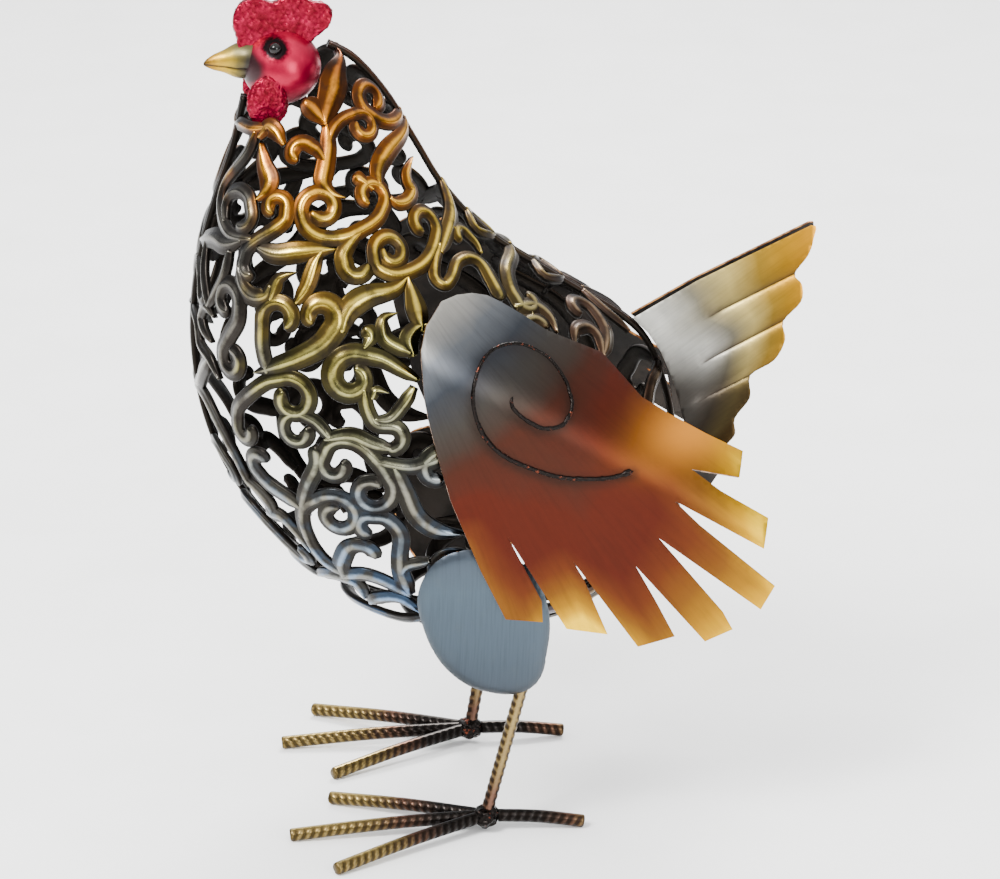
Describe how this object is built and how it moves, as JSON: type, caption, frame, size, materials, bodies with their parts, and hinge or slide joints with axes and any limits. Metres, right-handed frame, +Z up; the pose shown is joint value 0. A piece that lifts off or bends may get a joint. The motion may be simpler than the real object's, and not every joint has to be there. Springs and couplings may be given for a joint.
{
  "type": "metal hen figure",
  "caption": "Standing hen figure with a hollow body of open scroll metalwork, bent sheet wings and tail, painted head and rod feet.",
  "frame": {"origin": "on the ground, on the body's middle plane, where the hen's own zero line crosses it", "axes": "+Z up, the hen faces -Y, +X is the hen's left"},
  "size_m": [0.1842, 0.2784, 0.376],
  "materials": {
    "openwork_metal": "aged gold and gunmetal lacquer over steel scrolls, worn bright on the ridges",
    "wing_sheet": "brushed sheet lacquered from gunmetal through copper to gold",
    "tail_sheet": "brushed sheet lacquered from silver to gold",
    "thigh_sheet": "satin blue-grey lacquered sheet",
    "rod_metal": "ribbed steel rod with antique brass lacquer",
    "weld_metal": "dark rough weld",
    "face_paint": "glossy crimson enamel",
    "comb_paint": "glossy deep crimson enamel over a pebbled casting",
    "beak_paint": "satin olive yellow enamel"
  },
  "bodies": {
    "root": {"body_left": "openwork_metal", "body_right": "openwork_metal", "head": "face_paint", "comb": "comb_paint", "beak": "beak_paint", "wattle_left": "comb_paint", "wattle_right": "comb_paint", "wing_left": "wing_sheet", "wing_right": "wing_sheet", "tail_left": "tail_sheet", "tail_right": "tail_sheet", "thigh_left": "thigh_sheet", "thigh_right": "thigh_sheet", "leg_left": "rod_metal", "leg_right": "rod_metal", "toe_middle_left": "rod_metal", "toe_middle_right": "rod_metal", "toe_outer_left": "rod_metal", "toe_outer_right": "rod_metal", "toe_inner_left": "rod_metal", "toe_inner_right": "rod_metal", "toe_back_left": "rod_metal", "toe_back_right": "rod_metal", "weld_left": "weld_metal", "weld_right": "weld_metal"}
  },
  "joints": []
}
